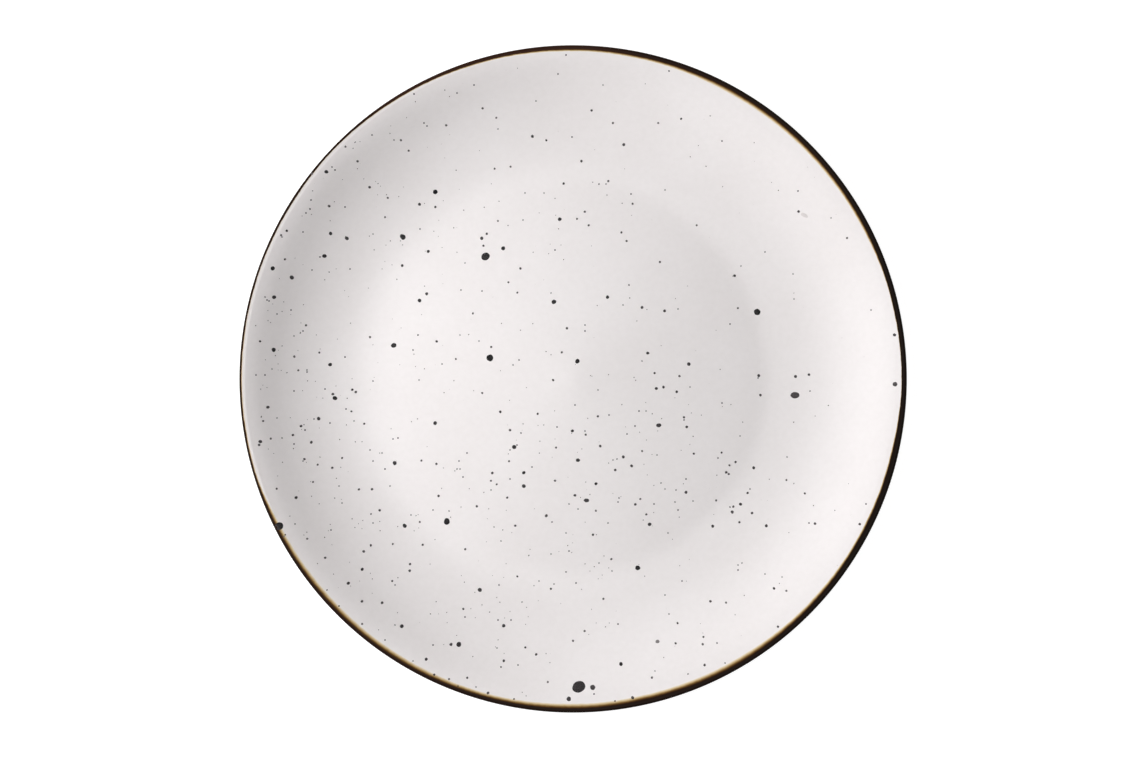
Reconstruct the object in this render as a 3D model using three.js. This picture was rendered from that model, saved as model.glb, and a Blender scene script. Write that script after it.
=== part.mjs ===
// A stoneware dessert plate: a clay body with a foot ring, a white speckled glaze on the eating
// side, the back and the base, and a dark iron-brown band over the lip.
// Millimetres, +Z up. The origin is on the plate's axis, on the surface that its foot stands on.

import * as THREE from 'three';

// Section of the plate, over the glaze
const PLATE_DIAMETER = 200;
const FLOOR_DIAMETER = 118; // lowest ring of the eating side, where the floor turns up into the wall
const FLOOR_SLOPE = 2.8; // degrees that the floor falls from the centre to that ring
const FLOOR_THICKNESS = 5.4; // height of that ring over the recess in the foot
const WALL_SLOPE = 36; // degrees of the straight flank above the wall's curve
const WALL_THICKNESS = 4.2; // at the foot of the wall, from where it tapers to the lip
const FLANK_LENGTH = 5;
const FLARE_SLOPE = 30.5; // degrees of the flare, a straight stretch between the flank and the lip
const FLARE_LENGTH = 1.6;
const FLARE_RADIUS = 33; // turn from the flank to the flare
const BACK_SLOPE = 34.5; // degrees of the straight underside below the lip
const LIP_INNER_RADIUS = 2.6; // roll from the flare up to the crest of the lip
const LIP_FACE_HEIGHT = 1.4; // upright outer face of the lip, between its two edges
const LIP_EDGE_RADIUS = 0.7;

// Foot ring, in one piece with the clay body and left bare
const FOOT_DIAMETER = 112;
const FOOT_WIDTH = 5;
const FOOT_HEIGHT = 2.6; // depth of the recess at the ring, where its roof begins to rise
const FOOT_EDGE_RADIUS = 1;
const FOOT_FILLET_RADIUS = 1.2; // glaze in the corners between the ring and the underside

// Fired coats
const GLAZE_THICKNESS = 0.4;
const BAND_DROP = 2.5; // how far the dark band reaches along the underside, past the lip's lower edge

// Facets of the round stretches
const SEGMENTS_AROUND = 56;
const WALL_STEPS = 8;
const FLARE_STEPS = 2;
const BACK_STEPS = 7;
const LIP_INNER_STEPS = 3;
const LIP_EDGE_STEPS = 3;
const FOOT_EDGE_STEPS = 3;
const FOOT_FILLET_STEPS = 3;

// Sizes that follow from these
const QUARTER_TURN = Math.PI / 2;
const floorSlope = THREE.MathUtils.degToRad(FLOOR_SLOPE);
const wallSlope = THREE.MathUtils.degToRad(WALL_SLOPE);
const wallRun = Math.cos(wallSlope);
const wallRise = Math.sin(wallSlope);
const flareSlope = THREE.MathUtils.degToRad(FLARE_SLOPE);
const flareRun = Math.cos(flareSlope);
const flareRise = Math.sin(flareSlope);
const backSlope = THREE.MathUtils.degToRad(BACK_SLOPE);
const backRun = Math.cos(backSlope);
const backRise = Math.sin(backSlope);
const crestRadius = PLATE_DIAMETER / 2 - LIP_EDGE_RADIUS;
const floorRadius = FLOOR_DIAMETER / 2;
const flankTopRadius =
  crestRadius -
  LIP_INNER_RADIUS * flareRise -
  FLARE_LENGTH * flareRun -
  FLARE_RADIUS * (wallRise - flareRise);
const wallCurveRadius = (flankTopRadius - FLANK_LENGTH * wallRun - floorRadius) / wallRise;
const floorHeight = FOOT_HEIGHT + FLOOR_THICKNESS;
const flankTopHeight = floorHeight + wallCurveRadius * (1 - wallRun) + FLANK_LENGTH * wallRise;
const plateHeight =
  flankTopHeight +
  FLARE_RADIUS * (flareRun - wallRun) +
  FLARE_LENGTH * flareRise +
  LIP_INNER_RADIUS * (1 - flareRun);
const upperEdgeHeight = plateHeight - LIP_EDGE_RADIUS;
const lowerEdgeHeight = upperEdgeHeight - LIP_FACE_HEIGHT;
const footRadius = FOOT_DIAMETER / 2;
const footInnerRadius = footRadius - FOOT_WIDTH;
const wallCentre = new THREE.Vector2(floorRadius, floorHeight + wallCurveRadius);
const flareCentre = new THREE.Vector2(
  flankTopRadius + FLARE_RADIUS * wallRise,
  flankTopHeight - FLARE_RADIUS * wallRun,
);

// The underside of the wall is an arc that is level below the floor's ring and runs into a straight
// stretch under the lip, which ends at the lip's lower edge.
const backHeight = floorHeight - WALL_THICKNESS;
const backCurveRadius =
  ((crestRadius - floorRadius) * backRise -
    (lowerEdgeHeight - backHeight) * backRun +
    LIP_EDGE_RADIUS) /
  (1 - backRun);
const backCentre = new THREE.Vector2(floorRadius, backHeight + backCurveRadius);

// Points on an arc in the plate's section. Angles run from outward (0) to upward (a quarter turn).
function arc(centre, radius, from, to, steps) {
  const points = [];
  for (let step = 0; step <= steps; step++) {
    const angle = THREE.MathUtils.lerp(from, to, step / steps);
    points.push(new THREE.Vector2(radius * Math.cos(angle), radius * Math.sin(angle)).add(centre));
  }
  return points;
}

// Where the slope of the floor through a point meets the axis
function coneTip(point) {
  return new THREE.Vector2(0, point.y + point.x * Math.tan(floorSlope));
}

// Each line below is a stretch of the section at a depth under the finished surface: depth 0 is
// the surface itself, and the glaze's thickness is the clay under it. All run from the centre of
// the eating side, over the lip and back to the axis underneath.

// Centre of the floor to the crest of the lip
function faceLine(depth) {
  const wall = arc(
    wallCentre,
    wallCurveRadius + depth,
    -QUARTER_TURN - floorSlope,
    -QUARTER_TURN + wallSlope,
    WALL_STEPS,
  );
  const flare = arc(
    flareCentre,
    FLARE_RADIUS - depth,
    QUARTER_TURN + wallSlope,
    QUARTER_TURN + flareSlope,
    FLARE_STEPS,
  );
  const lipCentre = new THREE.Vector2(crestRadius, plateHeight - LIP_INNER_RADIUS);
  const lip = arc(
    lipCentre,
    LIP_INNER_RADIUS - depth,
    QUARTER_TURN + flareSlope,
    QUARTER_TURN,
    LIP_INNER_STEPS,
  );
  return [coneTip(wall[0]), ...wall, ...flare, ...lip];
}

// Crest of the lip, down its outer face, to the lower edge of the dark band
function bandLine(depth) {
  const upperCentre = new THREE.Vector2(crestRadius, upperEdgeHeight);
  const lowerCentre = new THREE.Vector2(crestRadius, lowerEdgeHeight);
  const radius = LIP_EDGE_RADIUS - depth;
  const upper = arc(upperCentre, radius, QUARTER_TURN, 0, LIP_EDGE_STEPS);
  const lower = arc(lowerCentre, radius, 0, backSlope - QUARTER_TURN, LIP_EDGE_STEPS);
  const below = new THREE.Vector2(-BAND_DROP * backRun, -BAND_DROP * backRise);
  const edge = lower[LIP_EDGE_STEPS].clone().add(below);
  return [...upper, ...lower, edge];
}

// Lower edge of the band, along the underside of the wall, into the corner at the foot ring
function backLine(depth) {
  const edge = bandLine(depth).pop();
  const filletReach = backCurveRadius + FOOT_FILLET_RADIUS;
  const filletOut = footRadius + GLAZE_THICKNESS + FOOT_FILLET_RADIUS - floorRadius;
  const footAngle = Math.asin(filletOut / filletReach);
  const wall = arc(
    backCentre,
    backCurveRadius - depth,
    backSlope - QUARTER_TURN,
    footAngle - QUARTER_TURN,
    BACK_STEPS,
  );
  const filletCentre = new THREE.Vector2(filletOut, -filletReach * Math.cos(footAngle)).add(backCentre);
  const fillet = arc(
    filletCentre,
    FOOT_FILLET_RADIUS + depth,
    QUARTER_TURN + footAngle,
    2 * QUARTER_TURN,
    FOOT_FILLET_STEPS,
  );
  return [edge, ...wall, ...fillet.slice(1)];
}

// Round the bare foot ring, from its outside to its inside
function footLine() {
  const outer = new THREE.Vector2(footRadius - FOOT_EDGE_RADIUS, FOOT_EDGE_RADIUS);
  const inner = new THREE.Vector2(footInnerRadius + FOOT_EDGE_RADIUS, FOOT_EDGE_RADIUS);
  return [
    ...arc(outer, FOOT_EDGE_RADIUS, 0, -QUARTER_TURN, FOOT_EDGE_STEPS),
    ...arc(inner, FOOT_EDGE_RADIUS, -QUARTER_TURN, -2 * QUARTER_TURN, FOOT_EDGE_STEPS),
  ];
}

// Corner inside the foot ring to the axis, along the roof of the recess, which rises like the floor
function baseLine(depth) {
  const filletCentre = new THREE.Vector2(
    footInnerRadius - GLAZE_THICKNESS - FOOT_FILLET_RADIUS,
    FOOT_HEIGHT - FOOT_FILLET_RADIUS,
  );
  const fillet = arc(
    filletCentre,
    FOOT_FILLET_RADIUS + depth,
    0,
    QUARTER_TURN - floorSlope,
    FOOT_FILLET_STEPS,
  );
  return [...fillet, coneTip(fillet[FOOT_FILLET_STEPS])];
}

// A section turned about the plate's axis, as a named solid. The section runs clockwise round its
// material, seen with outward to the right.
function turned(name, section, material) {
  const geometry = new THREE.LatheGeometry(section.reverse(), SEGMENTS_AROUND);
  geometry.rotateX(QUARTER_TURN);
  const mesh = new THREE.Mesh(geometry, material);
  mesh.name = name;
  return mesh;
}

// A coat as thick as the glaze, along one line of the section
function coat(name, line, closes, material) {
  const section = [...line(0), ...line(GLAZE_THICKNESS).reverse()];
  if (closes) {
    section.push(section[0].clone());
  }
  return turned(name, section, material);
}

function clayBody(material) {
  const section = [
    ...faceLine(GLAZE_THICKNESS),
    ...bandLine(GLAZE_THICKNESS).slice(1),
    ...backLine(GLAZE_THICKNESS).slice(1),
    ...footLine(),
    ...baseLine(GLAZE_THICKNESS),
  ];
  return turned('clay_body', section, material);
}

const bareClay = new THREE.MeshStandardMaterial({ color: 0xc9b59a, roughness: 0.85, metalness: 0 });
const whiteGlaze = new THREE.MeshStandardMaterial({ color: 0xece8e7, roughness: 0.3, metalness: 0 });
const ironGlaze = new THREE.MeshStandardMaterial({ color: 0x2b1e18, roughness: 0.35, metalness: 0 });

const plate = new THREE.Group();
plate.add(clayBody(bareClay));
plate.add(coat('face_glaze', faceLine, false, whiteGlaze));
plate.add(coat('rim_band', bandLine, true, ironGlaze));
plate.add(coat('back_glaze', backLine, true, whiteGlaze));
plate.add(coat('base_glaze', baseLine, true, whiteGlaze));

export default plate;
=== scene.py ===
"""Looks of a stoneware dessert plate: a white glaze with iron specks on the eating side, the back and
the base, a dark iron band over the lip, and a bare foot ring. Metres, +Z up, in the frame's own axes."""

import bisect
import math
import random

import bpy
from mathutils import Matrix, Vector


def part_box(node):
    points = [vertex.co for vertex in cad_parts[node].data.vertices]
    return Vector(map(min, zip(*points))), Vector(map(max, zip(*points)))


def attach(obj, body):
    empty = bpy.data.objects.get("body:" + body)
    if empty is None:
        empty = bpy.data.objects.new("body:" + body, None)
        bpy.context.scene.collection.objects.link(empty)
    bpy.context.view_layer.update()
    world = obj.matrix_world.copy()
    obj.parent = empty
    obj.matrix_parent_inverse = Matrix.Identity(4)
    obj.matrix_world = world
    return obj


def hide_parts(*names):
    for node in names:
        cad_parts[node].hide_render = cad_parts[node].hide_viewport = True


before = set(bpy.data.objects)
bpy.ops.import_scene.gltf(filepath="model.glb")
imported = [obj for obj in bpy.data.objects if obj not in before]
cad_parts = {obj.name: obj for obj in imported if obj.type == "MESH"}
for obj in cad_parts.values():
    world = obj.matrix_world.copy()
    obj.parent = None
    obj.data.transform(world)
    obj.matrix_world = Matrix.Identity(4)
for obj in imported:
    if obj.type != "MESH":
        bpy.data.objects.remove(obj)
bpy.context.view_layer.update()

BODY = "root"
MM = 0.001

# Section of the plate: sizes that the frame's boxes don't give
FLOOR_RADIUS = 59.0 * MM
FLOOR_SLOPE = math.radians(2.8)
WALL_SLOPE = math.radians(36.0)
WALL_THICKNESS = 4.2 * MM
FLANK_LENGTH = 5.0 * MM
FLARE_SLOPE = math.radians(30.5)
FLARE_LENGTH = 1.6 * MM
FLARE_RADIUS = 33.0 * MM
BACK_SLOPE = math.radians(34.5)
LIP_INNER_RADIUS = 2.6 * MM
LIP_FACE_HEIGHT = 1.4 * MM
FOOT_RADIUS = 56.0 * MM
FOOT_WIDTH = 5.0 * MM
FOOT_HEIGHT = 2.6 * MM
FOOT_EDGE_RADIUS = 1.0 * MM
FOOT_FILLET_RADIUS = 1.2 * MM
BAND_DROP = 2.5 * MM

# Sizes that the frame gives, and what follows from them
PLATE_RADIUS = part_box("rim_band")[1].x
PLATE_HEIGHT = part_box("rim_band")[1].z
CREST_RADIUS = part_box("face_glaze")[1].x
GLAZE_THICKNESS = PLATE_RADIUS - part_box("clay_body")[1].x
LIP_EDGE_RADIUS = PLATE_RADIUS - CREST_RADIUS
UPPER_EDGE_HEIGHT = PLATE_HEIGHT - LIP_EDGE_RADIUS
LOWER_EDGE_HEIGHT = UPPER_EDGE_HEIGHT - LIP_FACE_HEIGHT
WALL_RUN = math.cos(WALL_SLOPE)
WALL_RISE = math.sin(WALL_SLOPE)
FLARE_RUN = math.cos(FLARE_SLOPE)
FLARE_RISE = math.sin(FLARE_SLOPE)
BACK_RUN = math.cos(BACK_SLOPE)
BACK_RISE = math.sin(BACK_SLOPE)
FLANK_TOP_RADIUS = (
    CREST_RADIUS
    - LIP_INNER_RADIUS * FLARE_RISE
    - FLARE_LENGTH * FLARE_RUN
    - FLARE_RADIUS * (WALL_RISE - FLARE_RISE)
)
FLANK_TOP_HEIGHT = (
    PLATE_HEIGHT
    - LIP_INNER_RADIUS * (1 - FLARE_RUN)
    - FLARE_LENGTH * FLARE_RISE
    - FLARE_RADIUS * (FLARE_RUN - WALL_RUN)
)
FLARE_CENTRE = (FLANK_TOP_RADIUS + FLARE_RADIUS * WALL_RISE, FLANK_TOP_HEIGHT - FLARE_RADIUS * WALL_RUN)
WALL_CURVE_RADIUS = (FLANK_TOP_RADIUS - FLANK_LENGTH * WALL_RUN - FLOOR_RADIUS) / WALL_RISE
FLOOR_HEIGHT = FLANK_TOP_HEIGHT - FLANK_LENGTH * WALL_RISE - WALL_CURVE_RADIUS * (1 - WALL_RUN)
WALL_CENTRE = (FLOOR_RADIUS, FLOOR_HEIGHT + WALL_CURVE_RADIUS)
BACK_HEIGHT = FLOOR_HEIGHT - WALL_THICKNESS
BACK_CURVE_RADIUS = (
    (CREST_RADIUS - FLOOR_RADIUS) * BACK_RISE
    - (LOWER_EDGE_HEIGHT - BACK_HEIGHT) * BACK_RUN
    + LIP_EDGE_RADIUS
) / (1 - BACK_RUN)
BACK_CENTRE = (FLOOR_RADIUS, BACK_HEIGHT + BACK_CURVE_RADIUS)
FOOT_INNER_RADIUS = FOOT_RADIUS - FOOT_WIDTH

# Fineness of the turned surfaces
QUARTER = math.pi / 2
SEGMENTS = 360
FLOOR_STEPS = 24
WALL_STEPS = 40
FLARE_STEPS = 12
FLANK_STEPS = 6
LIP_INNER_STEPS = 18
LIP_EDGE_STEPS = 16
LIP_FACE_STEPS = 6
BAND_STEPS = 8
FOOT_STEPS = 10
SHARP_TURN = math.radians(40)  # faces that turn more than this from each other meet in a sharp edge
AXIS_REACH = 1e-9  # a point of a section that is closer to the axis than this is on it

# The photograph: its size in pixels, the plate's outline in it, and a camera that sees it there
IMAGE_WIDTH = 1142
IMAGE_HEIGHT = 761
PLATE_CENTRE_PIXEL = (573.1, 378.9)
PLATE_RADIUS_PIXELS = 333.8
LENS_MM = 100.0
SENSOR_MM = 36.0
CAMERA_DISTANCE = PLATE_RADIUS * LENS_MM * IMAGE_WIDTH / (SENSOR_MM * PLATE_RADIUS_PIXELS)
PIXEL = PLATE_RADIUS / PLATE_RADIUS_PIXELS
CAMERA_PLACE = Vector((
    (IMAGE_WIDTH / 2 - PLATE_CENTRE_PIXEL[0]) * PIXEL,
    (PLATE_CENTRE_PIXEL[1] - IMAGE_HEIGHT / 2) * PIXEL,
    UPPER_EDGE_HEIGHT + CAMERA_DISTANCE,
))
SIGHT_STEPS = 8  # rounds that bring a line of sight on to the glaze

# The dark band, read from the photograph every 15 degrees, counterclockwise from the right

# Its width from the outline inwards
BAND_WIDTHS_PIXELS = (
    5.5, 5.9, 6.4, 6.5, 6.5, 6.0, 5.2, 4.4, 3.5, 2.5, 2.7, 2.4,
    2.4, 2.6, 4.7, 5.3, 5.5, 5.9, 6.6, 7.6, 7.2, 7.0, 7.1, 7.1,
)

# The width of each step of its fade from white over amber to black
BAND_FADES_PIXELS = (
    0.1, 0.2, 0.85, 1.1, 1.2, 0.8, 0.65, 0.45, 0.25, 0.1, 0.1, 0.1,
    0.25, 0.3, 1.35, 1.5, 1.45, 1.25, 1.55, 1.45, 1.55, 1.1, 0.7, 0.5,
)

# How brown its full colour is, from 0 for black to 1
BAND_BROWNS = (
    0.12, 0.03, 0.12, 0.25, 0.25, 0.35, 1.0, 0.9, 0.8, 0.3, 0.2, 0.2,
    0.2, 0.2, 0.15, 0.3, 0.35, 0.25, 0.2, 0.25, 0.15, 0.1, 0.0, 0.0,
)

# What the photograph doesn't give for each direction
BAND_FADE_STEPS = 2.0  # steps of the fade on either side of the band's edge
BAND_RAGGEDNESS_MM = 0.08  # how far that edge strays at most
BAND_LOWER_EDGE_MM = 5.2  # where the iron ends on the back, measured over the lip from its crest
BAND_WAVES = ((3, 0.22, 0.6), (7, 0.13, 2.1), (16, 0.07, 4.0))  # of that end: count, size in mm, phase
LIP_ZONE_MM = 3.0  # stretch inside the crest that the iron can reach
FAR_FROM_LIP = 1.0  # distance past the crest of a coat that no iron reaches

# Specks of the eating side, read from the photograph: pixel across, pixel down and width in pixels
SPECKS = (
    (446.2, 125.3, 2.4), (482.6, 108.3, 2.4), (496.3, 117.8, 2.2), (591.6, 110.4, 2.5), (612.9, 123.0, 2.4),
    (658.2, 123.0, 2.2), (681.1, 118.8, 2.3), (345.4, 146.7, 2.2), (357.6, 161.3, 2.5), (400.9, 140.2, 2.3),
    (408.7, 150.7, 2.3), (532.4, 136.4, 3.2), (546.3, 140.3, 2.3), (581.4, 161.1, 2.7), (623.8, 144.6, 3.2),
    (311.8, 173.6, 2.8), (326.3, 171.8, 3.8), (369.6, 187.2, 2.8), (435.3, 191.9, 4.9), (494.6, 168.7, 2.2),
    (510.6, 166.7, 2.2), (563.6, 183.6, 2.6), (608.3, 181.1, 2.5), (329.1, 206.1, 2.8), (385.0, 217.2, 2.2),
    (387.8, 197.9, 2.2), (419.5, 204.3, 3.2), (435.3, 207.0, 2.6), (497.9, 220.9, 2.2), (559.7, 219.2, 3.9),
    (577.0, 218.8, 2.2), (584.8, 211.7, 2.4), (632.6, 203.8, 2.4), (798.5, 211.5, 2.7), (281.1, 235.2, 2.2),
    (286.8, 230.8, 2.6), (330.6, 233.5, 3.6), (346.8, 238.3, 4.0), (402.8, 236.9, 5.9), (428.2, 251.4, 3.2),
    (481.7, 238.3, 3.6), (483.4, 245.7, 2.4), (486.8, 233.8, 2.6), (503.2, 248.3, 4.3), (588.7, 225.3, 2.4),
    (621.4, 232.4, 2.4), (626.6, 241.0, 2.4), (696.7, 225.3, 2.2), (847.0, 238.0, 2.2), (272.7, 268.4, 4.3),
    (284.9, 259.3, 2.3), (291.8, 277.5, 4.3), (324.4, 256.0, 4.3), (402.2, 265.6, 3.0), (485.5, 256.5, 8.6),
    (508.4, 282.3, 2.2), (520.4, 268.4, 2.6), (659.9, 262.0, 2.4), (734.6, 275.7, 2.9), (274.1, 297.2, 4.0),
    (419.5, 300.5, 3.9), (426.7, 293.8, 3.2), (472.9, 313.4, 2.2), (517.3, 292.6, 2.2), (553.9, 301.9, 4.8),
    (607.5, 297.1, 3.6), (642.0, 307.4, 3.1), (664.6, 310.9, 3.0), (737.9, 308.1, 2.2), (757.2, 312.0, 6.8),
    (260.0, 341.3, 2.3), (306.0, 325.3, 2.4), (370.0, 337.1, 2.5), (436.7, 341.4, 2.7), (566.9, 328.2, 2.7),
    (894.5, 334.9, 3.2), (273.7, 349.8, 4.3), (294.3, 356.6, 2.6), (298.3, 370.3, 2.2), (319.3, 352.6, 2.2),
    (330.1, 364.6, 3.8), (393.7, 345.4, 5.4), (455.9, 359.0, 2.2), (489.9, 357.9, 7.2), (491.2, 347.0, 2.4),
    (561.8, 352.3, 2.4), (577.4, 361.2, 4.8), (647.7, 353.1, 3.2), (654.6, 373.1, 2.4), (688.8, 364.1, 3.8),
    (808.9, 374.6, 2.7), (332.9, 394.1, 2.9), (334.9, 398.1, 4.6), (352.3, 389.7, 2.7), (355.8, 392.0, 2.7),
    (482.2, 393.0, 2.3), (553.1, 380.1, 2.5), (656.3, 388.5, 3.2), (663.5, 387.1, 2.9), (676.7, 391.8, 2.8),
    (679.4, 376.1, 2.5), (758.7, 375.6, 3.2), (760.4, 395.1, 2.8), (795.5, 376.5, 3.2), (263.1, 421.0, 2.2),
    (267.9, 407.2, 3.2), (292.9, 435.0, 2.5), (301.0, 426.1, 2.7), (318.6, 418.6, 3.6), (351.4, 411.4, 2.2),
    (364.2, 423.8, 2.3), (435.1, 423.1, 4.0), (500.3, 411.8, 2.8), (510.0, 430.1, 2.7), (537.7, 413.8, 2.4),
    (572.4, 430.9, 3.2), (585.7, 434.7, 2.4), (597.9, 416.3, 2.4), (683.9, 417.3, 2.4), (686.7, 426.9, 2.9),
    (259.1, 444.9, 2.6), (260.3, 441.6, 3.6), (270.8, 438.6, 2.3), (304.4, 459.1, 2.5), (311.3, 442.3, 3.0),
    (317.7, 464.7, 2.2), (342.1, 458.0, 2.2), (394.7, 463.1, 4.3), (421.4, 460.6, 2.3), (436.4, 463.9, 2.5),
    (509.0, 461.2, 2.2), (514.2, 447.0, 4.4), (556.0, 447.6, 2.2), (577.9, 460.2, 4.1), (600.2, 446.1, 2.8),
    (623.3, 456.9, 3.2), (642.1, 451.1, 2.2), (693.8, 453.7, 2.4), (721.6, 452.6, 2.2), (735.6, 462.0, 2.5),
    (276.7, 488.7, 2.2), (313.0, 482.0, 2.2), (332.2, 467.8, 2.6), (358.9, 489.4, 2.4), (372.0, 489.2, 2.7),
    (490.9, 480.8, 2.2), (492.3, 473.0, 2.9), (496.7, 484.3, 2.2), (523.8, 486.1, 4.1), (523.8, 472.7, 3.5),
    (555.0, 480.7, 2.5), (596.0, 483.7, 3.2), (615.2, 470.0, 2.7), (631.6, 465.9, 3.1), (686.0, 492.3, 3.2),
    (726.2, 472.4, 2.8), (728.7, 474.0, 2.4), (729.4, 465.3, 2.2), (747.6, 492.9, 2.5), (753.7, 467.8, 3.2),
    (786.4, 480.0, 2.2), (804.8, 493.4, 2.2), (296.1, 497.6, 3.2), (379.7, 510.3, 2.7), (419.8, 522.0, 2.2),
    (438.6, 495.9, 2.7), (446.8, 521.5, 6.6), (476.8, 506.3, 2.6), (507.2, 497.6, 2.4), (546.3, 515.7, 3.2),
    (574.9, 495.3, 2.9), (595.9, 510.7, 2.3), (635.3, 504.4, 2.8), (640.3, 499.0, 2.3), (646.3, 514.4, 2.4),
    (649.6, 524.3, 3.8), (716.1, 500.4, 2.2), (732.2, 512.0, 3.3), (733.3, 506.6, 2.5), (739.4, 522.2, 2.4),
    (740.5, 504.2, 3.2), (752.0, 513.0, 2.7), (815.0, 523.6, 2.7), (859.7, 524.1, 2.6), (279.0, 526.2, 8.4),
    (284.0, 536.4, 1.7), (285.2, 534.8, 1.9), (307.2, 538.7, 2.2), (363.7, 551.4, 2.9), (370.8, 545.3, 2.5),
    (392.8, 544.0, 2.2), (404.7, 525.8, 4.3), (422.7, 544.8, 2.5), (465.2, 549.2, 2.4), (592.9, 534.8, 2.6),
    (712.7, 526.2, 3.2), (766.3, 525.8, 3.2), (325.2, 557.8, 2.5), (348.3, 583.2, 3.3), (362.2, 569.3, 3.2),
    (392.2, 581.0, 2.3), (409.7, 570.7, 2.8), (410.0, 564.1, 2.5), (517.3, 576.4, 2.2), (566.0, 571.9, 1.8),
    (611.3, 559.1, 2.4), (637.7, 567.9, 5.1), (362.0, 601.3, 2.7), (382.1, 602.8, 2.9), (463.3, 608.9, 2.4),
    (479.8, 589.9, 4.3), (550.9, 588.8, 2.4), (603.4, 598.8, 2.3), (710.4, 601.3, 2.7), (726.0, 602.6, 2.2),
    (774.0, 588.4, 2.7), (786.4, 590.8, 2.3), (362.1, 623.9, 2.2), (401.8, 626.2, 3.9), (451.0, 644.4, 3.2),
    (458.8, 644.4, 5.1), (503.7, 625.7, 3.6), (573.0, 640.8, 2.4), (584.6, 631.0, 2.4), (675.6, 643.3, 2.4),
    (677.6, 623.1, 2.3), (702.7, 644.2, 2.4), (703.4, 636.9, 2.2), (777.9, 626.7, 2.4), (426.2, 659.2, 3.2),
    (434.2, 674.7, 2.4), (503.8, 660.8, 2.8), (525.3, 647.4, 2.3), (536.2, 654.4, 2.7), (620.9, 664.0, 3.9),
    (704.6, 665.0, 2.7), (449.0, 679.1, 2.2), (467.2, 677.8, 2.3), (488.0, 693.0, 2.8), (547.8, 682.0, 2.2),
    (632.6, 697.7, 3.2), (651.9, 677.6, 2.4),
)

# Oval or paler specks, and one pale smear: pixel across, pixel down, width and height in pixels, turn in
# degrees, and tone, where 1 is black and a smear is below 0
OVAL_SPECKS = (
    (795.0, 395.2, 9.3, 6.9, 0, 0.6), (895.0, 384.2, 4.7, 4.7, 0, 0.55),
    (592.7, 687.4, 5.3, 5.3, 0, 0.65), (568.8, 698.9, 4.6, 4.6, 0, 0.65),
    (586.5, 500.4, 5.5, 4.2, 0, 0.65), (658.7, 425.3, 5.5, 4.2, 0, 0.7),
    (657.5, 641.5, 4.2, 3.6, 0, 0.3), (515.2, 525.7, 2.9, 2.3, 0, 0.55),
    (578.8, 686.8, 14.2, 11.0, 12, 0.78), (804.2, 215.2, 8.5, 3.6, -30, -0.2),
)

# Fine specks, read from the photograph: pixel across and pixel down
FINE_SPECKS = (
    (558, 74), (566, 55), (669, 71), (414, 94), (457, 93), (474, 85), (536, 101), (603, 85),
    (424, 123), (427, 126), (498, 129), (372, 135), (394, 140), (572, 137), (722, 141), (332, 167),
    (335, 170), (525, 193), (544, 193), (599, 184), (606, 184), (631, 194), (665, 190), (798, 191),
    (306, 213), (310, 209), (311, 200), (345, 207), (523, 220), (831, 218), (282, 237), (303, 232),
    (373, 234), (420, 229), (555, 250), (765, 252), (312, 270), (320, 257), (350, 269), (465, 263),
    (741, 266), (793, 274), (265, 297), (267, 300), (269, 301), (277, 314), (291, 310), (461, 290),
    (482, 291), (551, 293), (623, 305), (629, 285), (678, 309), (794, 299), (871, 310), (294, 336),
    (303, 331), (418, 335), (460, 335), (479, 341), (585, 325), (585, 331), (730, 324), (256, 375),
    (272, 369), (307, 370), (307, 372), (345, 357), (413, 350), (442, 364), (513, 365), (519, 360),
    (642, 361), (265, 375), (294, 391), (325, 389), (373, 381), (419, 380), (575, 405), (598, 390),
    (690, 387), (722, 403), (758, 378), (810, 391), (277, 418), (305, 430), (314, 419), (330, 423),
    (346, 409), (354, 421), (521, 433), (557, 427), (585, 431), (609, 415), (627, 434), (635, 426),
    (639, 411), (646, 411), (684, 420), (282, 438), (294, 444), (303, 461), (370, 450), (373, 461),
    (382, 453), (393, 439), (398, 438), (459, 461), (467, 453), (510, 450), (517, 445), (613, 460),
    (617, 459), (657, 455), (718, 458), (740, 436), (787, 457), (339, 486), (385, 469), (390, 486),
    (457, 469), (460, 469), (463, 477), (491, 490), (510, 479), (532, 467), (661, 483), (665, 489),
    (676, 490), (686, 479), (750, 489), (295, 524), (342, 503), (371, 514), (373, 523), (411, 515),
    (433, 510), (449, 511), (552, 522), (569, 504), (578, 509), (608, 523), (618, 502), (619, 498),
    (654, 504), (675, 502), (678, 510), (693, 501), (730, 507), (809, 523), (866, 504), (331, 530),
    (494, 527), (501, 541), (551, 554), (566, 533), (569, 551), (668, 533), (539, 581), (554, 584),
    (576, 583), (599, 563), (612, 571), (682, 581), (738, 565), (738, 570), (742, 563), (765, 574),
    (782, 577), (327, 590), (339, 606), (395, 585), (499, 585), (522, 602), (665, 595), (669, 614),
    (385, 640), (395, 625), (433, 645), (465, 617), (498, 620), (511, 620), (618, 624), (717, 643),
    (413, 661), (497, 648), (501, 667), (518, 665), (655, 671), (688, 674), (725, 663), (458, 686),
    (476, 687), (514, 699), (594, 694), (615, 701),
)
FINE_SPECK_PIXELS = 1.6
FINE_SPECK_SHARES = (0.85, 1.15)  # narrowest and widest, as shares of that width
FINE_SPECK_TONES = (0.75, 1.0)

# Tones of the specks: up to one width they are grey, and from another on nearly black
GREY_SPECK_PIXELS = 2.2
BLACK_SPECK_PIXELS = 5.0
GREY_SPECK_TONE = 0.48
BLACK_SPECK_TONE = 0.91
SPECK_TONE_SPREAD = 0.1

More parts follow.
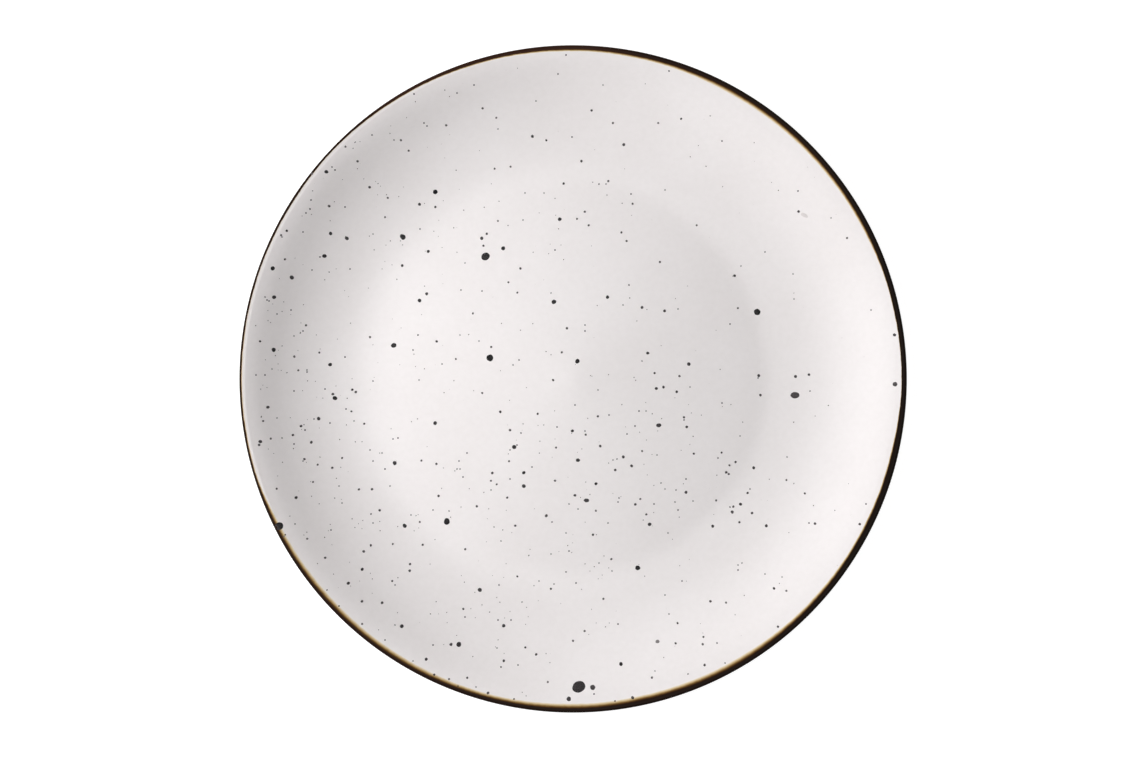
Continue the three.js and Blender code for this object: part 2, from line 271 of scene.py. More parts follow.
# Faint spatter: pixel across and down of a patch's middle, its spread in pixels, and its count
SPATTER = (
    (570.0, 380.0, 175.0, 150), (610.0, 440.0, 60.0, 30), (300.0, 420.0, 45.0, 45),
    (290.0, 330.0, 45.0, 35), (350.0, 510.0, 60.0, 40), (450.0, 600.0, 70.0, 45),
    (600.0, 560.0, 90.0, 45), (400.0, 175.0, 70.0, 60),
)
SPATTER_RADII_PIXELS = (0.35, 0.65)
SPATTER_TONES = (0.3, 0.8)
SPATTER_REACH = 0.965  # share of the plate's radius that it keeps within
FACE_SEED = 11

# Specks of the underside: how many there are, between which radii, how dark and how large
BACK_SPECKS = 420
BACK_SPECK_RADII = (60 * MM, 96 * MM)
BASE_SPECKS = 110
BASE_SPECK_RADII = (1 * MM, 48.5 * MM)
UNDER_SPECK_TONES = (0.45, 1.0)
UNDER_SPECK_RADIUS = 0.5 * PIXEL
UNDER_SPECK_SPREAD = (-0.1, 0.5)  # mean and deviation of the logarithm of a speck's share of that radius
UNDER_SPECK_LIMIT = 1.25 * PIXEL
LARGE_SPECK_SHARE = 0.08  # how many of the specks are larger
LARGE_SPECK_SCALE = 3.0
UNDER_SEED = 23

# Shape of a speck: a low blister that stands a little over the glaze and is rooted in it
ON_TOP = 1
UNDERNEATH = -1
SPECK_RISE = 0.06 * MM
SPECK_STEEPNESS = 0.18  # rise of a small speck, as a share of its half height
SPECK_RIM_DEPTH = 0.012 * MM
SPECK_ROOT = 0.05 * MM
SPECK_RINGS = ((0.9, 0.35), (0.5, 0.85))  # rings over its rim: shares of its outline and of its rise
SPECK_LOBES = (2, 3, 5)  # waves round its outline
SPECK_LOBE_SIZE = 0.05  # the largest wave, as a share of its half width
SPECK_STRETCH = 1.08  # how far a nearly round one is drawn out at most
COARSE_CORNERS = 10
FINE_CORNERS = 22
FINE_HALF_WIDTH = 0.3 * MM  # from this half width on, its outline is the finer one

# Finishes: how rough each surface is, and how strongly it mirrors
WHITE_ROUGHNESS = 0.3
WHITE_GLOSS = 0.4
IRON_ROUGHNESS = 0.35
IRON_GLOSS = 0.12
SPECK_ROUGHNESS = 0.3
SPECK_GLOSS = 0.2
CLAY_ROUGHNESS = 0.88

# Textures of the glazes
CLOUD_SIZE = 28 * MM
MOTTLE_SIZE = 1.6 * MM
FRECKLE_SPACING = 2.2 * MM
FRECKLE_WIDTH = 0.22 * MM
FRECKLE_SHARE = 0.35  # how many of the places for a freckle hold one
RAGGED_SIZE = 2.2 * MM
WEAR_SIZE = 12 * MM
WEAR_SHARES = (0.92, 1.08)  # of a glaze's roughness
PEEL_SIZE = 3.0 * MM
PEEL_HEIGHT = 0.06 * MM
PEEL_STRENGTH = 0.25
SPECK_GRAIN_SIZE = 0.4 * MM
SPECK_GRAIN_TONE = 0.12

# Textures of the clay
TOAST_SIZE = 9 * MM
GRIT_SIZE = 0.5 * MM
GRIT_HEIGHT = 0.1 * MM
GRIT_STRENGTH = 0.5
GRAIN_SPACING = 1.4 * MM
GRAIN_WIDTH = 0.45 * MM
GRAIN_SHARE = 0.3  # how many of the places for a grain hold one

# Ranges of noise: most of it lies in the first, and nearly all in the second
NOISE_RANGE = (0.3, 0.7)
WIDE_NOISE_RANGE = (0.25, 0.75)

# Colours in the shader's linear values. A tint is multiplied with the colour under it.
NO_TINT = (1, 1, 1, 1)
DEEP_WHITE = (0.855, 0.828, 0.826, 1)
PALE_WHITE = (0.88, 0.856, 0.856, 1)
MOTTLE_TINT = (0.975, 0.974, 0.972, 1)
FRECKLE_TINT = (0.42, 0.40, 0.39, 1)
GREY_LIP_TINT = (0.62, 0.60, 0.575, 1)
CREAM_LIP_TINT = (0.68, 0.64, 0.58, 1)
LIP_TINT_MM = 0.9  # how far the lip's tint reaches from the crest
CREAM_FADES_MM = (0.03, 0.08)  # steps of the band's fade over which that tint turns from grey to cream
IRON_TINTS = (  # place in the band's fade, and tint
    (0.0, NO_TINT),
    (0.14, (0.94, 0.86, 0.65, 1)),
    (0.32, (0.74, 0.60, 0.34, 1)),
    (0.5, (0.42, 0.275, 0.105, 1)),
    (0.68, (0.15, 0.078, 0.022, 1)),
    (0.86, (0.045, 0.019, 0.005, 1)),
    (1.0, (0.012, 0.006, 0.003, 1)),
)
BROWN_IRON_TINT = (0.046, 0.0175, 0.009, 1)
GRIT_TINT = (0.8, 0.78, 0.75, 1)
GRAIN_TINT = (0.2, 0.14, 0.1, 1)

# Colours as a picture holds them, from 0 to 255, each after its place in a ramp
CLAY_COLOURS = (
    (0.0, (176, 146, 112)),
    (0.55, (199, 175, 143)),
    (1.0, (212, 192, 163)),
)
SPECK_COLOURS = (
    (0.0, (217, 212, 211)),
    (0.15, (150, 146, 146)),
    (0.5, (82, 78, 79)),
    (1.0, (20, 19, 21)),
)

# Studio: a large soft lamp on the left, a small one overhead, even light all round and a white floor
KEY_DISTANCE = 0.42
KEY_ELEVATION = math.radians(35)
KEY_AZIMUTH = math.radians(171)
KEY_SIZE = 0.4
KEY_POWER = 2.36
TOP_HEIGHT = 1.3
TOP_SIZE = 0.25
TOP_POWER = 0.8
LAMP_COLOUR = (1.0, 0.985, 0.985)
WORLD_LEVEL = 0.284
WORLD_COLOUR = (1.0, 0.985, 0.98, 1)
FLOOR_REACH = 3.0
FLOOR_GAP = 0.02 * MM
FLOOR_BOUNCE = (0.5, 0.5, 0.5, 1)  # the floor's colour for the light that it throws on the plate
FLOOR_TRACE = (0.4, 0.4, 0.4, 1)  # what the eye sees of it that takes shadows
FLOOR_GLOW = (0.895, 0.895, 0.895, 1)  # what the eye sees of it that takes none


def arc(centre, radius, start, end, steps):
    """Points on an arc in the plate's section. Angles run from outward (0) to upward (a quarter)."""
    turns = [start + (end - start) * step / steps for step in range(steps + 1)]
    return [(centre[0] + radius * math.cos(a), centre[1] + radius * math.sin(a)) for a in turns]


def straight(start, end, steps):
    """Points on a straight stretch of the section."""
    shares = [step / steps for step in range(steps + 1)]
    return [tuple(a + (b - a) * share for a, b in zip(start, end)) for share in shares]


def cone_tip(point):
    """Where the floor's slope through a point meets the axis."""
    return (0.0, point[1] + point[0] * math.tan(FLOOR_SLOPE))


def face_line(depth):
    """Centre of the floor to the crest of the lip, at a depth under the surface."""
    wall = arc(
        WALL_CENTRE, WALL_CURVE_RADIUS + depth, -QUARTER - FLOOR_SLOPE, -QUARTER + WALL_SLOPE, WALL_STEPS
    )
    flare = arc(
        FLARE_CENTRE, FLARE_RADIUS - depth, QUARTER + WALL_SLOPE, QUARTER + FLARE_SLOPE, FLARE_STEPS
    )
    lip_centre = (CREST_RADIUS, PLATE_HEIGHT - LIP_INNER_RADIUS)
    lip = arc(lip_centre, LIP_INNER_RADIUS - depth, QUARTER + FLARE_SLOPE, QUARTER, LIP_INNER_STEPS)
    floor = straight(cone_tip(wall[0]), wall[0], FLOOR_STEPS)
    flank = straight(wall[-1], flare[0], FLANK_STEPS)
    rim = straight(flare[-1], lip[0], FLANK_STEPS)
    return floor + wall[1:] + flank[1:] + flare[1:] + rim[1:] + lip[1:]


def band_line(depth):
    """Crest of the lip, down its outer face, to the band's lower edge."""
    radius = LIP_EDGE_RADIUS - depth
    upper = arc((CREST_RADIUS, UPPER_EDGE_HEIGHT), radius, QUARTER, 0.0, LIP_EDGE_STEPS)
    lower = arc((CREST_RADIUS, LOWER_EDGE_HEIGHT), radius, 0.0, BACK_SLOPE - QUARTER, LIP_EDGE_STEPS)
    edge = (lower[-1][0] - BAND_DROP * BACK_RUN, lower[-1][1] - BAND_DROP * BACK_RISE)
    face = straight(upper[-1], lower[0], LIP_FACE_STEPS)
    return upper + face[1:] + lower[1:] + straight(lower[-1], edge, BAND_STEPS)[1:]


def back_line(depth):
    """Lower edge of the band, along the underside of the wall, into the corner at the foot ring."""
    reach = BACK_CURVE_RADIUS + FOOT_FILLET_RADIUS
    fillet_out = FOOT_RADIUS + GLAZE_THICKNESS + FOOT_FILLET_RADIUS - FLOOR_RADIUS
    foot_angle = math.asin(fillet_out / reach)
    wall = arc(
        BACK_CENTRE, BACK_CURVE_RADIUS - depth, BACK_SLOPE - QUARTER, foot_angle - QUARTER, WALL_STEPS
    )
    fillet_centre = (BACK_CENTRE[0] + fillet_out, BACK_CENTRE[1] - reach * math.cos(foot_angle))
    fillet = arc(
        fillet_centre, FOOT_FILLET_RADIUS + depth, QUARTER + foot_angle, 2 * QUARTER, FOOT_STEPS
    )
    flank = straight(band_line(depth)[-1], wall[0], FLANK_STEPS)
    return flank + wall[1:] + fillet[1:]


def foot_line():
    """Round the bare foot ring, from its outside to its inside."""
    outer = (FOOT_RADIUS - FOOT_EDGE_RADIUS, FOOT_EDGE_RADIUS)
    inner = (FOOT_INNER_RADIUS + FOOT_EDGE_RADIUS, FOOT_EDGE_RADIUS)
    rise = arc(outer, FOOT_EDGE_RADIUS, 0.0, -QUARTER, FOOT_STEPS)
    return rise + arc(inner, FOOT_EDGE_RADIUS, -QUARTER, -2 * QUARTER, FOOT_STEPS)


def base_line(depth):
    """Corner inside the foot ring to the axis, along the roof of the recess."""
    centre = (
        FOOT_INNER_RADIUS - GLAZE_THICKNESS - FOOT_FILLET_RADIUS,
        FOOT_HEIGHT - FOOT_FILLET_RADIUS,
    )
    fillet = arc(centre, FOOT_FILLET_RADIUS + depth, 0.0, QUARTER - FLOOR_SLOPE, FOOT_STEPS)
    return fillet + straight(fillet[-1], cone_tip(fillet[-1]), FLOOR_STEPS)[1:]


def lengths_along(line):
    """Distance of each point of a line from its first point, along the line."""
    distances = [0.0]
    for start, end in zip(line, line[1:]):
        distances.append(distances[-1] + math.dist(start, end))
    return distances


def around(values, angle):
    """A value read at even directions round the plate, smoothly between them at any angle."""
    place = angle / (2 * math.pi) % 1.0 * len(values)
    before = int(place)
    share = (1 - math.cos(math.pi * (place - before))) / 2
    return values[before] * (1 - share) + values[(before + 1) % len(values)] * share


def past_crest(radius):
    """How far a point of the lip is past its crest, over the surface, from its distance to the axis."""
    run = radius - CREST_RADIUS
    roll = LIP_EDGE_RADIUS if run > 0 else LIP_INNER_RADIUS
    return roll * math.asin(run / roll)


def iron_depth(lip_distance, angle):
    """How far a point is inside the dark band, in millimetres. Points outside it are below zero."""
    wave = sum(size * math.sin(count * angle + phase) for count, size, phase in BAND_WAVES)
    inner_edge = past_crest(PLATE_RADIUS - around(BAND_WIDTHS_PIXELS, angle) * PIXEL)
    past_inner = (lip_distance - inner_edge) / MM
    before_lower = BAND_LOWER_EDGE_MM + wave - lip_distance / MM
    return min(past_inner, before_lower)


def finish_piece(piece, material):
    """Gives a piece its material, and makes it ride on the plate's one body."""
    piece.data.materials.append(material)
    bpy.context.scene.collection.objects.link(piece)
    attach(piece, BODY)
    return piece


def store(mesh, name, values):
    """Gives each point of a mesh a number that its materials read by name."""
    mesh.attributes.new(name, "FLOAT", "POINT").data.foreach_set("value", values)


def faces_between(rings, closed):
    """Faces from each ring of points to the next, and if closed from the last one to the first."""
    pairs = list(zip(rings, rings[1:]))
    if closed:
        pairs.append((rings[-1], rings[0]))
    faces = []
    for first, second in pairs:
        for step in range(SEGMENTS):
            after = (step + 1) % SEGMENTS
            corners = [first[step], second[step], second[after], first[after]]
            face = list(dict.fromkeys(corners))
            if len(face) > 2:
                faces.append(face)
    return faces


def turned(name, section, lip_distances, material, node):
    """A section turned about the axis, in place of a node of the frame. It is closed, unless both of its
    ends are on the axis. Each of its points has a distance past the lip's crest."""
    turns = [2 * math.pi * step / SEGMENTS for step in range(SEGMENTS)]
    points = []
    rings = []
    readings = {"crest_gap": [], "iron_depth": [], "iron_fade": [], "iron_brown": []}
    for (radius, height), distance in zip(section, lip_distances):
        on_axis = radius < AXIS_REACH
        rings.append([len(points) + (0 if on_axis else step) for step in range(SEGMENTS)])
        for angle in [0.0] if on_axis else turns:
            points.append((radius * math.cos(angle), radius * math.sin(angle), height))
            readings["crest_gap"].append(abs(distance) / MM)
            readings["iron_depth"].append(iron_depth(distance, angle))
            readings["iron_fade"].append(around(BAND_FADES_PIXELS, angle) * PIXEL / MM)
            readings["iron_brown"].append(around(BAND_BROWNS, angle))
    closed = section[0][0] > 0 or section[-1][0] > 0
    mesh = bpy.data.meshes.new(name)
    mesh.from_pydata(points, [], faces_between(rings, closed))
    for reading_name, values in readings.items():
        store(mesh, reading_name, values)
    mesh.shade_smooth()
    mesh.set_sharp_from_angle(angle=SHARP_TURN)
    piece = finish_piece(bpy.data.objects.new(name, mesh), material)
    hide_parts(node)
    return piece


def coat(name, line, start, material, node):
    """A fired coat along a line of the section. Start is how far past the lip's crest the line begins."""
    surface = line(0.0)
    distances = [start + length for length in lengths_along(surface)]
    section = surface + line(GLAZE_THICKNESS)[::-1]
    return turned(name, section, distances + distances[::-1], material, node)


def paint_lip(piece, material):
    """Gives the faces of a piece near the lip's crest another material."""
    piece.data.materials.append(material)
    gaps = piece.data.attributes["crest_gap"].data
    for face in piece.data.polygons:
        if all(gaps[corner].value < LIP_ZONE_MM for corner in face.vertices):
            face.material_index = 1


def clay(name, material, node):
    """The clay body under the coats, with its bare foot ring."""
    section = (
        face_line(GLAZE_THICKNESS)
        + band_line(GLAZE_THICKNESS)[1:]
        + back_line(GLAZE_THICKNESS)[1:]
        + foot_line()
        + base_line(GLAZE_THICKNESS)
    )
    return turned(name, section, [0.0] * len(section), material, node)


def linear(stops):
    """Stops of a ramp with a picture's colours, 0 to 255, brought to linear values by the sRGB curve."""
    brought = []
    for place, colour in stops:
        shares = [value / 255 for value in colour]
        values = [s / 12.92 if s <= 0.04045 else ((s + 0.055) / 1.055) ** 2.4 for s in shares]
        brought.append((place, (*values, 1.0)))
    return brought


def plug(tree, socket, value):
    """Sets a socket to a value, or links it to another socket."""
    if isinstance(value, bpy.types.NodeSocket):
        tree.links.new(value, socket)
    else:
        socket.default_value = value


def add_node(tree, kind, inputs=None, **settings):
    """A new shader node with its settings and its inputs, which are named or numbered."""
    made = tree.nodes.new("ShaderNode" + kind)
    for key, value in settings.items():
        setattr(made, key, value)
    for key, value in (inputs or {}).items():
        plug(tree, made.inputs[key], value)
    return made


def reading(tree, name):
    """A number that the points of a piece hold, such as how far each is inside the band."""
    return add_node(tree, "Attribute", attribute_name=name).outputs["Fac"]


def maths(tree, operation, first, second=0.0):
    """The result of one sum on two numbers."""
    return add_node(tree, "Math", {0: first, 1: second}, operation=operation).outputs[0]


def stretch(tree, value, low, high, to_low, to_high):
    """A value carried from one range to another, and held at its ends."""
    inputs = {"Value": value, "From Min": low, "From Max": high, "To Min": to_low, "To Max": to_high}
    return add_node(tree, "MapRange", inputs, clamp=True).outputs["Result"]


def noise(tree, size, detail=2.0, roughness=0.5):
    """Noise with features of about that size, in metres, fixed to the plate."""
    place = add_node(tree, "TexCoord").outputs["Object"]
    inputs = {"Vector": place, "Scale": 1 / size, "Detail": detail, "Roughness": roughness}
    return add_node(tree, "TexNoise", inputs).outputs["Fac"]


def clouds(tree, size, low=0.0, high=1.0, detail=2.0, roughness=0.5):
    """Noise that is carried from its usual range to one from low to high."""
    return stretch(tree, noise(tree, size, detail, roughness), *NOISE_RANGE, low, high)


def blend(tree, kind, first, second, share):
    """Two colours blended in one of the mix node's ways."""
    made = add_node(tree, "Mix", data_type="RGBA", blend_type=kind)
    plug(tree, made.inputs["Factor"], share)
    plug(tree, made.inputs["A"], first)
    plug(tree, made.inputs["B"], second)
    return made.outputs["Result"]


def multiply(tree, first, second, share=1.0):
    """Two colours multiplied."""
    return blend(tree, "MULTIPLY", first, second, share)


def ramp(tree, value, stops):
    """A colour ramp from its stops, each a place from 0 to 1 and a colour."""
    made = add_node(tree, "ValToRGB", {"Fac": value})
    elements = made.color_ramp.elements
    while len(elements) < len(stops):
        elements.new(0.5)
    for element, (place, colour) in zip(elements, stops):
        element.position = place
        element.color = colour
    return made.outputs["Color"]


def new_material(name):
    """A material, its node tree and its principled shader."""
    made = bpy.data.materials.new(name)
    made.use_nodes = True
    return made, made.node_tree, made.node_tree.nodes["Principled BSDF"]


def emboss(tree, shader, height, strength, distance):
    """Raises a surface by a height from 0 to 1, times a distance."""
    bump = add_node(tree, "Bump", {"Height": height, "Strength": strength, "Distance": distance})
    plug(tree, shader.inputs["Normal"], bump.outputs["Normal"])


def pepper(tree, spacing, width, share):
    """Fine freckles: 1 in a freckle, else 0. Width is the widest one's, share how many places hold one."""
    place = add_node(tree, "TexCoord").outputs["Object"]
    cells = add_node(tree, "TexVoronoi", {"Vector": place, "Scale": 1 / spacing})
    chance = add_node(tree, "SeparateColor", {"Color": cells.outputs["Color"]}).outputs["Red"]
    reach = stretch(tree, chance, 1 - share, 1.0, 0.0, width / 2 / spacing)
    return maths(tree, "LESS_THAN", cells.outputs["Distance"], reach)


def white_tone(tree):
    """Colour of the white glaze: clouds, mottling, freckles, and grey to cream where the lip thins it."""
    even = ramp(tree, clouds(tree, CLOUD_SIZE), ((0.0, DEEP_WHITE), (1.0, PALE_WHITE)))
    mottle = ramp(tree, clouds(tree, MOTTLE_SIZE, detail=3.0), ((0.0, MOTTLE_TINT), (1.0, NO_TINT)))
    freckles = pepper(tree, FRECKLE_SPACING, FRECKLE_WIDTH, FRECKLE_SHARE)
    freckled = multiply(tree, multiply(tree, even, mottle), FRECKLE_TINT, freckles)
    warmth = stretch(tree, reading(tree, "iron_fade"), *CREAM_FADES_MM, 0.0, 1.0)
    tint = ramp(tree, warmth, ((0.0, GREY_LIP_TINT), (1.0, CREAM_LIP_TINT)))
    thinned = stretch(tree, reading(tree, "crest_gap"), 0.0, LIP_TINT_MM, 1.0, 0.0)
    return multiply(tree, freckled, tint, thinned)


def iron_stain(tree):
    """What the iron leaves of the white: amber where it thins, near black or brown where it is full."""
    wander = noise(tree, RAGGED_SIZE, detail=4.0, roughness=0.6)
    ragged = stretch(tree, wander, *WIDE_NOISE_RANGE, -BAND_RAGGEDNESS_MM, BAND_RAGGEDNESS_MM)
    depth = maths(tree, "ADD", reading(tree, "iron_depth"), ragged)
    steps = maths(tree, "DIVIDE", depth, reading(tree, "iron_fade"))
    place = stretch(tree, steps, -BAND_FADE_STEPS, BAND_FADE_STEPS, 0.0, 1.0)
    stain = ramp(tree, place, IRON_TINTS)
    return blend(tree, "LIGHTEN", stain, BROWN_IRON_TINT, reading(tree, "iron_brown"))


def glaze_material(name, roughness, gloss):
    """A fired glaze. White and iron melt into each other at the lip, so both glazes hold the stain."""
    made, tree, shader = new_material(name)
    stain = iron_stain(tree)
    plug(tree, shader.inputs["Base Color"], multiply(tree, white_tone(tree), stain))
    shader.inputs["Specular IOR Level"].default_value = gloss
    worn = clouds(tree, WEAR_SIZE, *WEAR_SHARES, detail=3.0)
    plug(tree, shader.inputs["Roughness"], maths(tree, "MULTIPLY", worn, roughness))
    emboss(tree, shader, noise(tree, PEEL_SIZE), PEEL_STRENGTH, PEEL_HEIGHT)
    return made


def clay_material():
    """Bare fired stoneware: buff, gritty, toasted in clouds, with iron grains."""
    made, tree, shader = new_material("bare_stoneware")
    buff = ramp(tree, clouds(tree, TOAST_SIZE, detail=4.0, roughness=0.6), linear(CLAY_COLOURS))
    grit = clouds(tree, GRIT_SIZE, detail=3.0, roughness=0.7)
    gritty = multiply(tree, buff, ramp(tree, grit, ((0.0, GRIT_TINT), (1.0, NO_TINT))))
    grains = pepper(tree, GRAIN_SPACING, GRAIN_WIDTH, GRAIN_SHARE)
    plug(tree, shader.inputs["Base Color"], multiply(tree, gritty, GRAIN_TINT, grains))
    shader.inputs["Roughness"].default_value = CLAY_ROUGHNESS
    emboss(tree, shader, grit, GRIT_STRENGTH, GRIT_HEIGHT)
    return made


def speck_material():
    """Iron that has boiled through the glaze: black in the large specks, greyer in faint ones."""
    made, tree, shader = new_material("iron_speck")
    grain = clouds(tree, SPECK_GRAIN_SIZE, -SPECK_GRAIN_TONE, SPECK_GRAIN_TONE)
    tone = maths(tree, "ADD", reading(tree, "tone"), grain)
    plug(tree, shader.inputs["Base Color"], ramp(tree, tone, linear(SPECK_COLOURS)))
    shader.inputs["Roughness"].default_value = SPECK_ROUGHNESS
    shader.inputs["Specular IOR Level"].default_value = SPECK_GLOSS
    return made


# Lines of the glaze that specks stand on: each runs outward, and UPPER a little past the lip's crest
FACE = face_line(0.0)
UPPER = FACE + band_line(0.0)[1:LIP_EDGE_STEPS]
BACK = back_line(0.0)[::-1]
BASE = base_line(0.0)[::-1]


def height_at(line, radius):
    """Height and slope at a distance from the axis, on a line of the section that runs outward."""
    after = bisect.bisect_left(line, (radius,), 1, len(line) - 1)
    (near, low), (far, high) = line[after - 1], line[after]
    slope = (high - low) / (far - near)
    return low + slope * (radius - near), slope


def place_on(line, across, along, side):
    """The point of a turned line at x and y, and the normal there, on top of the plate or underneath."""
    height, slope = height_at(line, math.hypot(across, along))
    outward = Vector((across, along, 0.0)).normalized()
    normal = (Vector((0, 0, 1)) - slope * outward) * side
    return Vector((across, along, height)), normal.normalized()


def seen_at(pixel_across, pixel_down):
    """Where the camera sees a pixel of the photograph on the eating side, as x and y."""
    step = SENSOR_MM / LENS_MM / IMAGE_WIDTH
    run = Vector(((pixel_across - IMAGE_WIDTH / 2) * step, (IMAGE_HEIGHT / 2 - pixel_down) * step))
    height = FLOOR_HEIGHT
    for _ in range(SIGHT_STEPS):
        place = CAMERA_PLACE.xy + run * (CAMERA_PLACE.z - height)
        height = height_at(UPPER, place.length)[0]
    return place


def round_speck(place, radius, tone, draw):
    """A nearly round speck: its place, half width, half height, turn and tone."""
    longer = draw.uniform(1.0, SPECK_STRETCH)
    return place, radius * longer, radius / longer, draw.uniform(0, 2 * math.pi), tone


def lifted(spot, normal, lift):
    """A point lifted off the glaze, but not over the crest of the lip."""
    raised = spot + normal * lift
    raised.z = min(raised.z, PLATE_HEIGHT)
    return raised


def add_speck(points, faces, line, side, shape, draw):
    """Adds one speck: a low closed blister with an uneven outline, its rim just under the glaze."""
    place, half_width, half_height, turn = shape
    centre, normal = place_on(line, place.x, place.y, side)
    corners = COARSE_CORNERS if half_width < FINE_HALF_WIDTH else FINE_CORNERS
    lobes = []
    for count in SPECK_LOBES:
        lobes.append((count, draw.uniform(0, SPECK_LOBE_SIZE), draw.uniform(0, 2 * math.pi)))
    rise = min(SPECK_STEEPNESS * half_height, SPECK_RISE)
    rings = [(1.0, -SPECK_RIM_DEPTH)] + [(share, height * rise) for share, height in SPECK_RINGS]
    first = len(points)
    for share, lift in rings:
        for corner in range(corners):
            angle = 2 * math.pi * corner / corners
            reach = share * (1 + sum(s * math.cos(n * angle + phase) for n, s, phase in lobes))
            offset = Vector((half_width * math.cos(angle), half_height * math.sin(angle))) * reach
            offset.rotate(Matrix.Rotation(turn, 2))
            points.append(lifted(*place_on(line, place.x + offset.x, place.y + offset.y, side), lift))
    points.append(lifted(centre, normal, rise))
    points.append(lifted(centre, normal, -SPECK_ROOT))
    top = len(points) - 2
    bottom = len(points) - 1
    inner = top - corners
    for corner in range(corners):
        after = (corner + 1) % corners
        sides = [(first + corner, first + after, bottom)[::-1], (inner + corner, inner + after, top)]
        for start in range(first, inner, corners):
            over = start + corners
            sides.append((start + corner, start + after, over + after, over + corner))
        faces.extend(face[::side] for face in sides)


def speck_piece(name, line, side, specks, material, draw):
    """One piece that holds many specks on a turned line."""
    points = []
    faces = []
    tones = []
    for *shape, tone in specks:
        add_speck(points, faces, line, side, shape, draw)
        tones.extend([tone] * (len(points) - len(tones)))
    mesh = bpy.data.meshes.new(name)
    mesh.from_pydata(points, [], faces)
    store(mesh, "tone", tones)
    mesh.shade_smooth()
    return finish_piece(bpy.data.objects.new(name, mesh), material)


def under_radius(draw):
    """Radius of a speck underneath: most are a quarter of a millimetre wide, a few three times that."""
    usual = min(UNDER_SPECK_RADIUS * draw.lognormvariate(*UNDER_SPECK_SPREAD), UNDER_SPECK_LIMIT)
    scale = LARGE_SPECK_SCALE if draw.random() < LARGE_SPECK_SHARE else 1.0
    return usual * scale


def speck_tone(width, draw):
    """Tone of a speck, from its width in pixels: small ones hold less iron and are greyer."""
    share = (width - GREY_SPECK_PIXELS) / (BLACK_SPECK_PIXELS - GREY_SPECK_PIXELS)
    held = min(max(share, 0.0), 1.0)
    middle = GREY_SPECK_TONE + held * (BLACK_SPECK_TONE - GREY_SPECK_TONE)
    return middle + draw.uniform(-SPECK_TONE_SPREAD, SPECK_TONE_SPREAD)


def face_specks(material):
    """Specks of the eating side: those that the photograph shows, and a faint spatter round them."""
    draw = random.Random(FACE_SEED)
    specks = []
    for across, down, width in SPECKS:
        tone = speck_tone(width, draw)
        specks.append(round_speck(seen_at(across, down), width / 2 * PIXEL, tone, draw))
    for across, down, width, height, degrees, tone in OVAL_SPECKS:
        turn = math.radians(degrees)
        specks.append((seen_at(across, down), width / 2 * PIXEL, height / 2 * PIXEL, turn, tone))
    for across, down in FINE_SPECKS:
        width = FINE_SPECK_PIXELS * draw.uniform(*FINE_SPECK_SHARES)
        tone = draw.uniform(*FINE_SPECK_TONES)
        specks.append(round_speck(seen_at(across, down), width / 2 * PIXEL, tone, draw))
    for across, down, spread, count in SPATTER:
        for _ in range(count):
            spot = (draw.gauss(across, spread), draw.gauss(down, spread))
            radius = draw.uniform(*SPATTER_RADII_PIXELS) * PIXEL
            tone = draw.uniform(*SPATTER_TONES)
            if math.dist(spot, PLATE_CENTRE_PIXEL) < SPATTER_REACH * PLATE_RADIUS_PIXELS:
                specks.append(round_speck(seen_at(*spot), radius, tone, draw))
    return speck_piece("face_specks", UPPER, ON_TOP, specks, material, draw)


def under_specks(name, line, radii, count, material, draw):
    """Specks scattered evenly on the underside between two radii."""
    inner, outer = radii
    specks = []
    for _ in range(count):
        radius = math.sqrt(draw.uniform(inner**2, outer**2))
        angle = draw.uniform(0, 2 * math.pi)
        size = under_radius(draw)
        place = radius * Vector((math.cos(angle), math.sin(angle)))
        specks.append(round_speck(place, size, draw.uniform(*UNDER_SPECK_TONES), draw))
    return speck_piece(name, line, UNDERNEATH, specks, material, draw)


def mixed_for_eyes(tree, hidden, shown):
    """Shows one shader to the camera, mirrors and glass, and another to the light that is bounced."""
    path = add_node(tree, "LightPath")
    seen = maths(tree, "MAXIMUM", path.outputs["Is Camera Ray"], path.outputs["Is Glossy Ray"])
    seen = maths(tree, "MAXIMUM", seen, path.outputs["Is Transmission Ray"])
    return add_node(tree, "MixShader", {0: seen, 1: hidden, 2: shown}).outputs[0]


def floor_material():
    """White studio floor: plain white to the eye, and a little darker close under the plate."""
    made, tree, shader = new_material("studio_floor")
    tree.nodes.remove(shader)
    bounced = add_node(tree, "BsdfDiffuse", {"Color": FLOOR_BOUNCE}).outputs[0]
    trace = add_node(tree, "BsdfDiffuse", {"Color": FLOOR_TRACE}).outputs[0]
    glow = add_node(tree, "Emission", {"Color": FLOOR_GLOW, "Strength": 1.0}).outputs[0]
    shown = add_node(tree, "AddShader", {0: trace, 1: glow}).outputs[0]
    plug(tree, tree.nodes["Material Output"].inputs["Surface"], mixed_for_eyes(tree, bounced, shown))
    return made


def studio_floor():
    """A wide floor, a hair below the plate's foot."""
    mesh = bpy.data.meshes.new("studio_floor")
    corners = [(-1, -1), (1, -1), (1, 1), (-1, 1)]
    points = [(x * FLOOR_REACH, y * FLOOR_REACH, -FLOOR_GAP) for x, y in corners]
    mesh.from_pydata(points, [], [(0, 1, 2, 3)])
    mesh.materials.append(floor_material())
    floor = bpy.data.objects.new("studio_floor", mesh)
    bpy.context.scene.collection.objects.link(floor)


def softbox(name, place, size, power):
    """A square soft lamp that faces the plate."""
    lamp = bpy.data.lights.new(name, "AREA")
    lamp.shape = "SQUARE"
    lamp.size = size
    lamp.energy = power
    lamp.color = LAMP_COLOUR
    made = bpy.data.objects.new(name, lamp)
    made.location = place
    made.rotation_euler = (-place).to_track_quat("-Z", "Y").to_euler()
    bpy.context.scene.collection.objects.link(made)
    return made


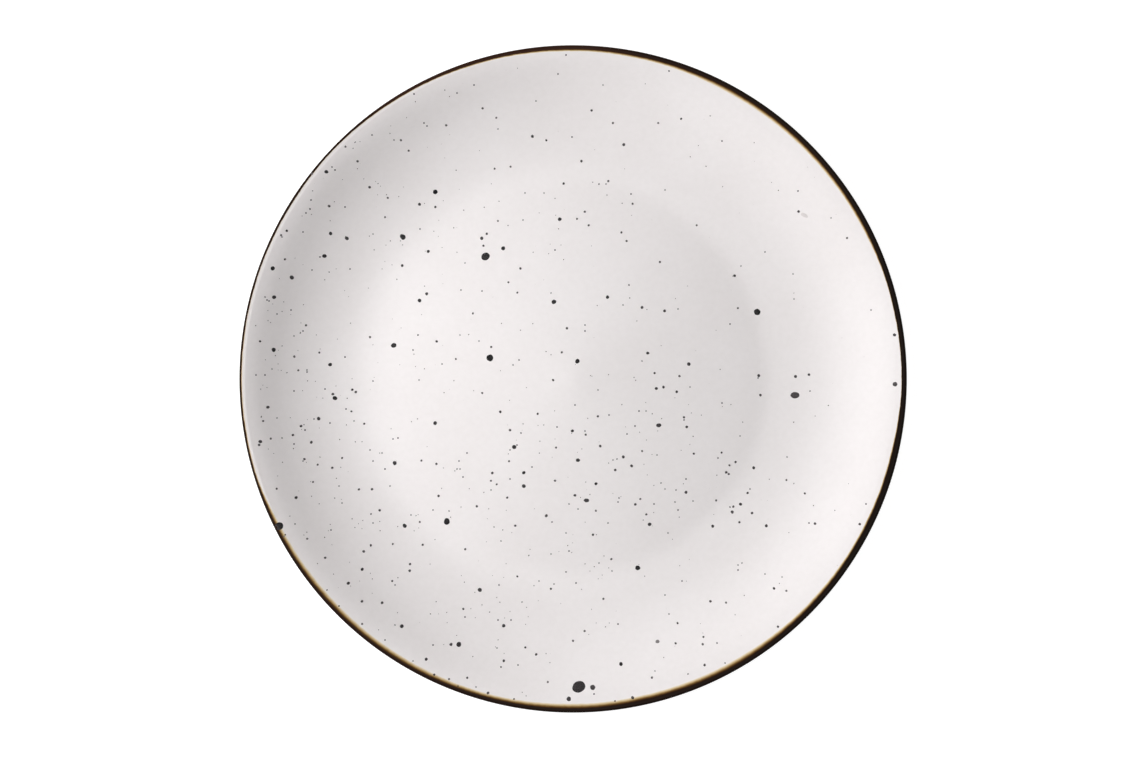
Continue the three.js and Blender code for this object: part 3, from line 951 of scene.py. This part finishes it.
def studio_light():
    """Even light from all round, a large soft lamp on the left and a small one overhead."""
    world = bpy.data.worlds.new("studio_world")
    world.use_nodes = True
    sky = world.node_tree.nodes["Background"]
    sky.inputs["Color"].default_value = WORLD_COLOUR
    sky.inputs["Strength"].default_value = WORLD_LEVEL
    bpy.context.scene.world = world

    level_part = math.cos(KEY_ELEVATION) * Vector((math.cos(KEY_AZIMUTH), math.sin(KEY_AZIMUTH), 0))
    key_place = KEY_DISTANCE * (level_part + Vector((0, 0, math.sin(KEY_ELEVATION))))
    key = softbox("key_softbox", key_place, KEY_SIZE, KEY_POWER)
    key.visible_glossy = False  # the glaze doesn't mirror it
    softbox("top_softbox", Vector((0, 0, TOP_HEIGHT)), TOP_SIZE, TOP_POWER)


def camera():
    """Straight down on to the plate, which is as large and as far off the middle as in the photograph."""
    lens_data = bpy.data.cameras.new("photo_camera")
    lens_data.lens = LENS_MM
    lens_data.sensor_width = SENSOR_MM
    made = bpy.data.objects.new("photo_camera", lens_data)
    made.location = CAMERA_PLACE
    bpy.context.scene.collection.objects.link(made)
    bpy.context.scene.camera = made


# The plate
white_glaze = glaze_material("white_glaze", WHITE_ROUGHNESS, WHITE_GLOSS)
iron_glaze = glaze_material("iron_glaze", IRON_ROUGHNESS, IRON_GLOSS)
iron_speck = speck_material()
face_start = -lengths_along(FACE)[-1]
band_length = lengths_along(band_line(0.0))[-1]
clay("stoneware_body", clay_material(), "clay_body")
face_coat = coat("face_coat", face_line, face_start, white_glaze, "face_glaze")
paint_lip(face_coat, iron_glaze)
coat("lip_band", band_line, 0.0, iron_glaze, "rim_band")
coat("back_coat", back_line, band_length, white_glaze, "back_glaze")
coat("base_coat", base_line, FAR_FROM_LIP, white_glaze, "base_glaze")
face_specks(iron_speck)
under_draw = random.Random(UNDER_SEED)
under_specks("back_specks", BACK, BACK_SPECK_RADII, BACK_SPECKS, iron_speck, under_draw)
under_specks("base_specks", BASE, BASE_SPECK_RADII, BASE_SPECKS, iron_speck, under_draw)

# The studio and the camera
studio_floor()
studio_light()
camera()
bpy.context.scene.view_settings.view_transform = "Standard"
